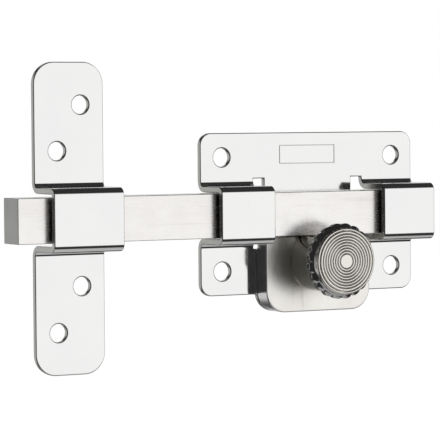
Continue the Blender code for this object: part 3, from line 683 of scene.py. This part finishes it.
def badge_frame():
    """A cutter for the thin blank rectangle that is pressed into the upper flange."""
    front = SHEET + THROUGH
    floor = SHEET - BADGE_DEPTH
    half_x = BADGE_WIDTH / 2
    half_z = BADGE_HEIGHT / 2
    x_range = (BADGE_X - half_x, BADGE_X + half_x)
    z_range = (BADGE_RISE - half_z, BADGE_RISE + half_z)
    outer = box_between("badge_line", x_range, (floor, front), z_range)
    inner_x = (x_range[0] + BADGE_LINE, x_range[1] - BADGE_LINE)
    inner_z = (z_range[0] + BADGE_LINE, z_range[1] - BADGE_LINE)
    inner = box_between("badge_field", inner_x, (floor - BADGE_UNDERCUT, front + THROUGH), inner_z)
    return cut(outer, [inner], CUT_EDGE)


def make_base_plate():
    """The plate with its two bridges, relief slots and tongue, its holes and its blank frame."""
    edge = plate_high.x
    top = plate_high.z
    path = bridge_path(bolt_high.z + BOLT_SIDE_CLEARANCE)
    fold = path[0][1]
    slot = BRIDGE_END - RELIEF_SLOT
    right = rounded_corner(edge, top, 1, 1, PLATE_CORNER)
    left = rounded_corner(-edge, top, -1, 1, PLATE_CORNER)
    lower_left = rounded_corner(-edge, -top, -1, -1, PLATE_CORNER)
    lower_right = rounded_corner(edge, -top, 1, -1, PLATE_CORNER)
    middle = (CASE_HALF - CASE_CORNER, plate_low.z + CASE_CORNER)
    start = math.asin((middle[1] + top) / CASE_CORNER)
    tongue_right = arc(middle, CASE_CORNER, 1.5 * math.pi, math.tau - start, CORNER_STEPS)
    tongue_left = [(-x, z) for x, z in reversed(tongue_right)]
    outline = right + left
    end = fold + RELIEF_PAST_FOLD
    relief = [(edge, fold), (BRIDGE_END, fold), (BRIDGE_END, end), (slot, end)]
    relief = [(x, -z) for x, z in relief] + relief[::-1]
    outline += [(-x, -z) for x, z in relief] + lower_left + tongue_left + tongue_right + lower_right + relief
    strips = [((-edge, -BRIDGE_END), path), ((BRIDGE_END, edge), path)]
    plate = soften(sheet_piece("base_plate_finish", [outline], strips), SHEET_EDGE)
    hole_x = edge - PLATE_HOLE_FROM_END
    hole_z = fold + PLATE_HOLE_FROM_FOLD
    places = [(x, z) for x in (-hole_x, hole_x) for z in (-hole_z, hole_z)]
    cutters = [lipped_hole("plate_hole", PLATE_HOLE_RADIUS, x, z) for x, z in places]
    cutters.append(drum("spindle_hole", SPINDLE_HOLE, -THROUGH, SHEET + THROUGH))
    cutters.append(drum("pin_hole", STOP_PIN_HOLE, -THROUGH, SHEET + THROUGH, STOP_X, STOP_Z))
    head = CASE_SCREW_HEAD + SEAT
    shank = CASE_SCREW_SHANK + SEAT
    cutters += [cone_hole("screw_hole", head, shank, SHEET + THROUGH, x, z) for x, z in case_screw_places()]
    shade(cut(plate, cutters + [badge_frame()], CUT_EDGE))
    return finish_piece(plate, "base", "polished_sheet", "base_plate")


def make_keeper():
    """The tall strap with one bridge over its whole width and four staggered holes."""
    left, right = keeper_low.x, keeper_high.x
    middle = (left + right) / 2
    top = keeper_high.z
    path = bridge_path(bolt_high.z + KEEPER_SIDE_CLEARANCE)
    fold = path[0][1]
    upper = rounded_corner(right, top, 1, 1, KEEPER_CORNER)
    upper += rounded_corner(left, top, -1, 1, KEEPER_CORNER)
    upper += [(left, fold), (right, fold)]
    lower = rounded_corner(left, -top, -1, -1, KEEPER_CORNER)
    lower += rounded_corner(right, -top, 1, -1, KEEPER_CORNER)
    lower += [(right, -fold), (left, -fold)]
    keeper = sheet_piece("keeper_strap_finish", [upper, lower], [((left, right), path)])
    near = fold + KEEPER_HOLE_FROM_FOLD
    far = top - KEEPER_HOLE_FROM_END
    holes = [(KEEPER_HOLE_X, far), (-KEEPER_HOLE_X, near)]
    holes += [(-x, -z) for x, z in holes]
    cutters = [lipped_hole("keeper_hole", KEEPER_HOLE_RADIUS, middle + x, z) for x, z in holes]
    shade(cut(soften(keeper, SHEET_EDGE), cutters, CUT_EDGE))
    return finish_piece(keeper, "keeper", "polished_sheet", "keeper_strap")


# ---------------------------------------------------------------- bolt and case

def rack_cutters():
    """The gaps of the rack in the back of the bolt's lower edge."""
    pitch_line = bolt_low.z + RACK_MODULE
    pitch = math.pi * RACK_MODULE
    half = (pitch / 2 + RACK_BACKLASH) / 2
    slope = math.tan(PRESSURE_ANGLE)
    mouth = RACK_MODULE + THROUGH
    root = ROOT_DEPTH * RACK_MODULE
    tip_radius = pitch_line - KNOB_Z + RACK_MODULE
    reach = math.sqrt(tip_radius**2 - (bolt_low.z - KNOB_Z) ** 2)
    last = math.ceil(reach / pitch)
    first = -math.ceil((TRAVEL + reach) / pitch)
    back = -bolt_high.y - THROUGH
    front = -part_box("drive_pinion")[0].y + GAP
    gaps = []
    for number in range(first, last + 1):
        x = number * pitch
        outline = [
            (x - half - mouth * slope, pitch_line - mouth),
            (x + half + mouth * slope, pitch_line - mouth),
            (x + half - root * slope, pitch_line + root),
            (x - half + root * slope, pitch_line + root),
        ]
        gaps.append(prism("rack_gap", outline, back, front))
    return gaps


def make_bolt():
    """The flat bar with its sawn ends, its rack and the slot for the stop."""
    back = -bolt_high.y
    x_range, z_range = (bolt_low.x, bolt_high.x), (bolt_low.z, bolt_high.z)
    bolt = paint(box_between("bolt_bar_finish", x_range, (back, -bolt_low.y), z_range), BAR, BAR_END)
    paint_second(bolt, lambda face: abs(face.normal.x) > MOSTLY)
    soften(bolt, BOLT_EDGE, BOLT_EDGE_STEPS)
    stop = arc((STOP_X - TRAVEL, STOP_Z), STOP_RADIUS, math.pi / 2, 1.5 * math.pi, CORNER_STEPS)
    stop += arc((STOP_X, STOP_Z), STOP_RADIUS, -math.pi / 2, math.pi / 2, CORNER_STEPS)
    slot = prism("stop_slot", stop, back - THROUGH, back + STOP_DEPTH)
    shade(cut(bolt, rack_cutters() + [slot], BAR_END))
    return finish_piece(bolt, "bolt", "satin_bar", "bolt_bar")


def case_screw_places():
    """Two screws beside the pinion's pocket and two near the case's lower corners."""
    low = case_low.z + CASE_SCREW_RISE
    inner = CASE_HALF - CASE_CORNER
    return [(-CASE_SCREW_SIDE, KNOB_Z), (CASE_SCREW_SIDE, KNOB_Z), (-inner, low), (inner, low)]


def sleeve_screw_places():
    return [
        (SLEEVE_SCREW_CIRCLE * math.cos(a), KNOB_Z + SLEEVE_SCREW_CIRCLE * math.sin(a))
        for a in SLEEVE_SCREW_ANGLES
    ]


def make_case():
    """The low block under the bolt, hollow behind for the pinion and bored through for its bearing."""
    back, front = -case_high.y, -case_low.y
    floor = front - CASE_WALL
    outline = [(-CASE_HALF, case_high.z)]
    outline += rounded_corner(-CASE_HALF, case_low.z, -1, -1, CASE_CORNER)
    outline += rounded_corner(CASE_HALF, case_low.z, 1, -1, CASE_CORNER)
    outline += [(CASE_HALF, case_high.z)]
    case = paint(prism("lock_case_finish", outline, back, front), BLOCK, BLOCK_SIDE)
    paint_second(case, lambda face: abs(face.normal.y) <= MOSTLY)
    bore = [
        (0.0, front + THROUGH), (BUSH_SEAT, front + THROUGH), (BUSH_SEAT, floor), (POCKET_RADIUS, floor),
        (POCKET_RADIUS, back - THROUGH), (0.0, back - THROUGH),
    ]
    cutters = [lathe("pocket", bore, closed=False)]
    seat = CASE_SCREW_SHANK + SEAT
    end = CASE_SCREW_LENGTH + 2 * SEAT
    cutters += [drum("screw_seat", seat, back - THROUGH, end, x, z) for x, z in case_screw_places()]
    shade(cut(soften(case, CASE_EDGE), cutters, BLOCK_SIDE))
    return finish_piece(case, "base", "satin_case", "lock_case")


# ---------------------------------------------------------------- geometry trees

def geometry_group(name, inputs):
    """A geometry tree with a geometry socket and named inputs."""
    tree = bpy.data.node_groups.new(name, "GeometryNodeTree")
    tree.interface.new_socket("Geometry", in_out="INPUT", socket_type="NodeSocketGeometry")
    for label, kind, value in inputs:
        socket = tree.interface.new_socket(label, in_out="INPUT", socket_type=kind)
        if value is not None:
            socket.default_value = value
    tree.interface.new_socket("Geometry", in_out="OUTPUT", socket_type="NodeSocketGeometry")
    return tree, node(tree, "NodeGroupInput"), node(tree, "NodeGroupOutput")


def finish_geometry(tree, given, out, geometry):
    """Ends a tree in Realize Instances and Set Material."""
    real = node(tree, "GeometryNodeRealizeInstances")
    feed(tree, real.inputs["Geometry"], geometry)
    painted = node(tree, "GeometryNodeSetMaterial")
    feed(tree, painted.inputs["Geometry"], real.outputs["Geometry"])
    feed(tree, painted.inputs["Material"], given.outputs["Finish"])
    feed(tree, out.inputs["Geometry"], painted.outputs["Geometry"])


def run_tree(obj, tree, **inputs):
    """Puts a geometry tree on an object with its inputs set, and makes the result a plain mesh."""
    modifier = obj.modifiers.new(tree.name, "NODES")
    modifier.node_group = tree
    sockets = {item.name: item.identifier for item in tree.interface.items_tree if item.in_out == "INPUT"}
    for label, value in inputs.items():
        modifier[sockets[label.replace("_", " ")]] = value
    return baked(obj)


# ---------------------------------------------------------------- knob

def make_sleeve():
    """The fixed neck, bored for the spindle's bearings and flat on top to clear the bolt."""
    back, front = -sleeve_high.y, -sleeve_low.y
    radius = sleeve_high.x
    profile = [
        (radius - SLEEVE_EDGE, front), (radius, front - SLEEVE_EDGE),
        (radius, back + SLEEVE_EDGE), (radius - SLEEVE_EDGE, back), (BUSH_SEAT, back),
        (BUSH_SEAT, front - THROUGH), (SLEEVE_BORE, front - THROUGH), (SLEEVE_BORE, front),
    ]
    sleeve = lathe("knob_sleeve_finish", profile)
    flat = box_between(
        "flat", (-radius - THROUGH, radius + THROUGH), (back - THROUGH, front + THROUGH),
        (sleeve_high.z, KNOB_Z + radius + THROUGH),
    )
    shade(paint(cut(sleeve, [flat], SLEEVE), SLEEVE))
    return finish_piece(sleeve, "base", "polished_sleeve", "knob_sleeve")


def lobes_tree():
    """Swells a turned band into rounded lobes that meet in narrow valleys."""
    inputs = [
        ("Lobes", "NodeSocketInt", LOBES), ("Height", "NodeSocketFloat", LOBE_HEIGHT),
        ("Axis Z", "NodeSocketFloat", 0.0), ("Back", "NodeSocketFloat", 0.0), ("Front", "NodeSocketFloat", 0.0),
        ("Shoulder", "NodeSocketFloat", LOBE_SHOULDER), ("Least radius", "NodeSocketFloat", 0.0),
        ("Finish", "NodeSocketMaterial", None),
    ]
    tree, given, out = geometry_group("lobed_band", inputs)
    place = node(tree, "ShaderNodeSeparateXYZ")
    feed(tree, place.inputs[0], node(tree, "GeometryNodeInputPosition").outputs[0])
    x = place.outputs["X"]
    z = maths(tree, "SUBTRACT", place.outputs["Z"], given.outputs["Axis Z"])
    depth = maths(tree, "MULTIPLY", place.outputs["Y"], -1.0)
    turn = maths(tree, "ARCTAN2", z, x)
    half_lobes = maths(tree, "MULTIPLY", given.outputs["Lobes"], 0.5)
    wave = maths(tree, "SINE", maths(tree, "MULTIPLY", turn, half_lobes))
    swell = maths(tree, "SQRT", maths(tree, "ABSOLUTE", wave))
    shoulder = given.outputs["Shoulder"]
    from_back = maths(tree, "SUBTRACT", depth, given.outputs["Back"])
    from_back = maths(tree, "DIVIDE", from_back, shoulder)
    from_front = maths(tree, "SUBTRACT", given.outputs["Front"], depth)
    from_front = maths(tree, "DIVIDE", from_front, shoulder)
    inside = node(tree, "ShaderNodeClamp")
    feed(tree, inside.inputs["Value"], maths(tree, "MINIMUM", from_back, from_front))
    rise = maths(tree, "SQRT", inside.outputs[0])
    radius = maths(tree, "SQRT", maths(tree, "MULTIPLY_ADD", x, x, maths(tree, "MULTIPLY", z, z)))
    outer = maths(tree, "GREATER_THAN", radius, given.outputs["Least radius"])
    height = maths(tree, "MULTIPLY", outer, given.outputs["Height"])
    lift = maths(tree, "MULTIPLY", maths(tree, "MULTIPLY", swell, rise), height)
    away = node(tree, "ShaderNodeCombineXYZ")
    feed(tree, away.inputs["X"], maths(tree, "MULTIPLY", maths(tree, "COSINE", turn), lift))
    feed(tree, away.inputs["Z"], maths(tree, "MULTIPLY", maths(tree, "SINE", turn), lift))
    moved = node(tree, "GeometryNodeSetPosition")
    feed(tree, moved.inputs["Geometry"], given.outputs["Geometry"])
    feed(tree, moved.inputs["Offset"], away.outputs[0])
    finish_geometry(tree, given, out, moved.outputs["Geometry"])
    return tree


def make_grip():
    """The lobed head with its smooth collar, recessed in front for the ringed face."""
    back, front = -head_high.y, -head_low.y
    band_front = back + LOBE_BAND
    floor = -cap_high.y - SEAT
    across = LOBE_VALLEY - COLLAR_RADIUS - RECESS_CHAMFER
    slope = [
        (LOBE_VALLEY - across * (1 - step / BAND_STEPS), band_front - LOBE_SHOULDER * step / BAND_STEPS)
        for step in range(BAND_STEPS + 1)
    ]
    rim_middle = (COLLAR_RADIUS - COLLAR_ROUND, front - COLLAR_ROUND)
    rim = arc(rim_middle, COLLAR_ROUND, math.pi / 2, 0.0, ROUND_STEPS)
    straight = LOBE_BAND - 2 * LOBE_SHOULDER
    sides = [
        band_front - LOBE_SHOULDER - step * straight / BAND_STEPS for step in range(1, BAND_STEPS + 1)
    ]
    turns = [math.pi / 2 * step / ROUND_STEPS for step in range(1, ROUND_STEPS + 1)]
    back_round = [
        (LOBE_VALLEY - across * (1 - math.cos(a)), back + LOBE_SHOULDER * (1 - math.sin(a))) for a in turns
    ]
    profile = [(RECESS_RADIUS, floor), (RECESS_RADIUS, front - RECESS_CHAMFER)]
    profile += [(RECESS_RADIUS + RECESS_CHAMFER, front)]
    profile += rim + [(COLLAR_RADIUS, band_front + GAP)] + slope
    profile += [(LOBE_VALLEY, depth) for depth in sides] + back_round
    profile += [(BUSH_SEAT / 2, back), (BUSH_SEAT / 2, floor)]
    grip = lathe("knob_grip", profile, steps=LOBES * LOBE_STEPS)
    run_tree(
        grip, lobes_tree(), Lobes=LOBES, Height=LOBE_HEIGHT, Axis_Z=KNOB_Z, Back=back, Front=band_front,
        Shoulder=LOBE_SHOULDER, Least_radius=COLLAR_RADIUS + GAP, Finish=GRIP,
    )
    grip.data.materials.append(CAP)
    paint_second(grip, lambda face: -face.center.y > band_front + GAP / 2)
    shade(grip, GRIP_SHARP_FROM)
    return finish_piece(grip, "knob", "knob_chrome", "knob_head")


def make_cap():
    """The pale face in the knob's front, turned into rings round a plain middle, with painted shade on the
    grooves' floors.
    """
    back, front = -cap_high.y, -cap_low.y
    radius = cap_high.x
    pitch = (radius - CAP_EDGE - RING_START) / RINGS
    profile = [(0.0, front), (RING_START - SEAT, front)]
    for ring in range(RINGS):
        for step in range(RING_STEPS + 1):
            share = step / RING_STEPS
            depth = front - RING_DEPTH * math.sin(math.pi * share) ** RING_POWER
            profile.append((RING_START + (ring + share * RING_SHARE) * pitch, depth))
    profile += [(radius - CAP_EDGE, front), (radius - CAP_EDGE / 3, front - CAP_EDGE / 3)]
    profile += [(radius, front - CAP_EDGE), (radius, back), (0.0, back)]
    cap = paint(lathe("knob_face", profile, closed=False), CAP, GROOVE_SHADE)

    # The faces deep in a ring's groove and inside the rim take the painted shade.
    def in_shaded_groove(face):
        sunk = front - RING_DEPTH < -face.center.y < front - RING_DEPTH * GROOVE_SHADE_FROM
        return sunk and math.hypot(face.center.x, face.center.z - KNOB_Z) < radius - CAP_EDGE

    paint_second(cap, in_shaded_groove)
    shade(cap, CAP_SHARP_FROM)
    return finish_piece(cap, "knob", "cap_silver", "knob_cap")


def screws_tree():
    """A slotted countersunk screw on each point, its head facing the back.

    Head and shank overlap by half the taper, so no gap shows between them.
    """
    inputs = [
        ("Head radius", "NodeSocketFloat", 0.001), ("Shank radius", "NodeSocketFloat", 0.001),
        ("Length", "NodeSocketFloat", 0.001), ("Slot width", "NodeSocketFloat", SLOT_WIDTH),
        ("Slot depth", "NodeSocketFloat", SLOT_DEPTH), ("Finish", "NodeSocketMaterial", None),
    ]
    tree, given, out = geometry_group("countersunk_screws", inputs)
    head_radius = given.outputs["Head radius"]
    shank_radius = given.outputs["Shank radius"]
    taper = maths(tree, "SUBTRACT", head_radius, shank_radius)
    head = node(tree, "GeometryNodeMeshCone")
    head.inputs["Vertices"].default_value = HOLE_STEPS
    feed(tree, head.inputs["Radius Bottom"], head_radius)
    feed(tree, head.inputs["Radius Top"], shank_radius)
    feed(tree, head.inputs["Depth"], taper)
    shank = node(tree, "GeometryNodeMeshCylinder")
    shank.inputs["Vertices"].default_value = HOLE_STEPS
    feed(tree, shank.inputs["Radius"], shank_radius)
    overlap = maths(tree, "MULTIPLY", taper, 0.5)
    shank_length = maths(tree, "SUBTRACT", given.outputs["Length"], overlap)
    feed(tree, shank.inputs["Depth"], shank_length)
    lifted = node(tree, "GeometryNodeTransform")
    feed(tree, lifted.inputs["Geometry"], shank.outputs["Mesh"])
    place = node(tree, "ShaderNodeCombineXYZ")
    feed(tree, place.inputs["Z"], maths(tree, "MULTIPLY_ADD", shank_length, 0.5, overlap))
    feed(tree, lifted.inputs["Translation"], place.outputs[0])
    slot = node(tree, "GeometryNodeMeshCube")
    size = node(tree, "ShaderNodeCombineXYZ")
    feed(tree, size.inputs["X"], maths(tree, "MULTIPLY", head_radius, SLOT_LENGTH_IN_HEADS))
    feed(tree, size.inputs["Y"], given.outputs["Slot width"])
    feed(tree, size.inputs["Z"], maths(tree, "MULTIPLY", given.outputs["Slot depth"], 2.0))
    feed(tree, slot.inputs["Size"], size.outputs[0])
    slotted = node(tree, "GeometryNodeMeshBoolean", operation="DIFFERENCE")
    tree.links.new(head.outputs["Mesh"], slotted.inputs["Mesh 1"])
    tree.links.new(slot.outputs["Mesh"], slotted.inputs["Mesh 2"])
    whole = node(tree, "GeometryNodeJoinGeometry")
    tree.links.new(slotted.outputs["Mesh"], whole.inputs["Geometry"])
    tree.links.new(lifted.outputs["Geometry"], whole.inputs["Geometry"])
    spread = node(tree, "GeometryNodeInstanceOnPoints")
    feed(tree, spread.inputs["Points"], given.outputs["Geometry"])
    feed(tree, spread.inputs["Instance"], whole.outputs["Geometry"])
    spread.inputs["Rotation"].default_value = (math.pi / 2, 0.0, 0.0)
    finish_geometry(tree, given, out, spread.outputs["Instances"])
    return tree


def make_screws(name, tree, places, back, head, shank, length, *nodes):
    """One set of screws of one size, their heads' backs at one depth."""
    bm = bmesh.new()
    for x, z in places:
        bm.verts.new((x, -back, z))
    screws = mesh_object(name, bm)
    run_tree(screws, tree, Head_radius=head, Shank_radius=shank, Length=length, Finish=STEEL)
    shade(screws, SCREW_SHARP_FROM)
    return finish_piece(screws, "base", "plain_steel", *nodes)


def dress_inner_pieces():
    """Finishes for the pieces inside, whose solids are shown as they are."""
    looks = {
        STEEL: ("spindle", "drive_pinion", "spindle_circlip", "wave_washer", "stop_pin", "knob_screw"),
        BRONZE: ("rear_bush", "front_bush", "thrust_washer"),
    }
    for material, names in looks.items():
        for name in names:
            paint(frame["nodes"][name], material)


# ---------------------------------------------------------------- studio

def make_camera():
    """A long lens a little above the bolt's line, off to the keeper's side."""
    level = math.cos(CAMERA_PITCH)
    forward = Vector((math.sin(CAMERA_YAW) * level, math.cos(CAMERA_YAW) * level, -math.sin(CAMERA_PITCH)))
    camera = link(bpy.data.objects.new("camera", bpy.data.cameras.new("camera")))
    camera.data.lens = CAMERA_LENS
    camera.location = CAMERA_TARGET - forward * CAMERA_DISTANCE
    facing = forward.to_track_quat("-Z", "Y").to_matrix().to_4x4()
    camera.matrix_world = Matrix.Translation(camera.location) @ facing @ Matrix.Rotation(CAMERA_ROLL, 4, "Z")
    bpy.context.scene.camera = camera


def make_floor():
    """A wide pale floor well below the part, which the metal doesn't mirror."""
    bm = bmesh.new()
    bmesh.ops.create_grid(bm, x_segments=1, y_segments=1, size=FLOOR_HALF)
    bmesh.ops.translate(bm, vec=(0.0, 0.0, cad_low.z - FLOOR_DROP), verts=bm.verts)
    floor = mesh_object("floor", bm)
    material = bpy.data.materials.new("pale_floor")
    material.use_nodes = True
    shader = material.node_tree.nodes["Principled BSDF"]
    shader.inputs["Base Color"].default_value = (0.95, 0.95, 0.95, 1.0)
    shader.inputs["Roughness"].default_value = FLOOR_ROUGHNESS
    shader.inputs["Emission Color"].default_value = (1.0, 1.0, 1.0, 1.0)
    shader.inputs["Emission Strength"].default_value = FLOOR_GLOW
    paint(floor, material)
    floor.visible_glossy = False


def window(tree, value, low, high, soft):
    """1 between two numbers, with soft ends."""
    rising = node(tree, "ShaderNodeMapRange", interpolation_type="SMOOTHSTEP")
    falling = node(tree, "ShaderNodeMapRange", interpolation_type="SMOOTHSTEP")
    for made, start, end in ((rising, low - soft, low), (falling, high + soft, high)):
        feed(tree, made.inputs["Value"], value)
        made.inputs["From Min"].default_value = start
        made.inputs["From Max"].default_value = end
    return maths(tree, "MULTIPLY", rising.outputs["Result"], falling.outputs["Result"])


def make_world():
    """White all round for the eye and the floor, and a dark studio with white cards for the metal."""
    world = bpy.data.worlds.new("studio")
    bpy.context.scene.world = world
    world.use_nodes = True
    world.cycles.sampling_method = "NONE"
    tree = world.node_tree
    tree.nodes.clear()
    way = node(tree, "ShaderNodeSeparateXYZ")
    feed(tree, way.inputs[0], node(tree, "ShaderNodeTexCoord").outputs["Generated"])
    azimuth = maths(tree, "ARCTAN2", way.outputs["X"], maths(tree, "MULTIPLY", way.outputs["Y"], -1.0))
    height = maths(tree, "ARCSINE", way.outputs["Z"])
    glossy = node(tree, "ShaderNodeLightPath").outputs["Is Glossy Ray"]
    light = STUDIO_DARK
    for *angles, brightness in STUDIO_CARDS:
        start, end, bottom, top, soft = map(math.radians, angles)
        across = window(tree, azimuth, start, end, soft)
        up = window(tree, height, bottom, top, soft)
        card = maths(tree, "MULTIPLY", maths(tree, "MULTIPLY", across, up), brightness)
        light = maths(tree, "ADD", light, card)
    studio = node(tree, "ShaderNodeBackground")
    feed(tree, studio.inputs["Strength"], light)
    plain = node(tree, "ShaderNodeBackground")
    mixed = node(tree, "ShaderNodeMixShader")
    plain.inputs["Color"].default_value = (1.0, 1.0, 1.0, 1.0)
    studio.inputs["Color"].default_value = (1.0, 1.0, 0.99, 1.0)
    feed(tree, mixed.inputs["Fac"], glossy)
    tree.links.new(plain.outputs[0], mixed.inputs[1])
    tree.links.new(studio.outputs[0], mixed.inputs[2])
    tree.links.new(mixed.outputs[0], node(tree, "ShaderNodeOutputWorld").inputs["Surface"])


def main():
    bpy.context.scene.view_settings.view_transform = "Standard"
    make_camera()
    make_floor()
    make_world()
    make_base_plate()
    make_keeper()
    make_bolt()
    make_case()
    make_sleeve()
    make_grip()
    make_cap()
    screws = screws_tree()
    make_screws(
        "case_screws", screws, case_screw_places(), SEAT,
        CASE_SCREW_HEAD, CASE_SCREW_SHANK, CASE_SCREW_LENGTH,
        "case_screw_1", "case_screw_2", "case_screw_3", "case_screw_4",
    )
    make_screws(
        "sleeve_screws", screws, sleeve_screw_places(), -case_low.y - CASE_WALL + SEAT,
        SLEEVE_SCREW_HEAD, SLEEVE_SCREW_SHANK, SLEEVE_SCREW_LENGTH, "sleeve_screw_1", "sleeve_screw_2",
    )
    dress_inner_pieces()


main()
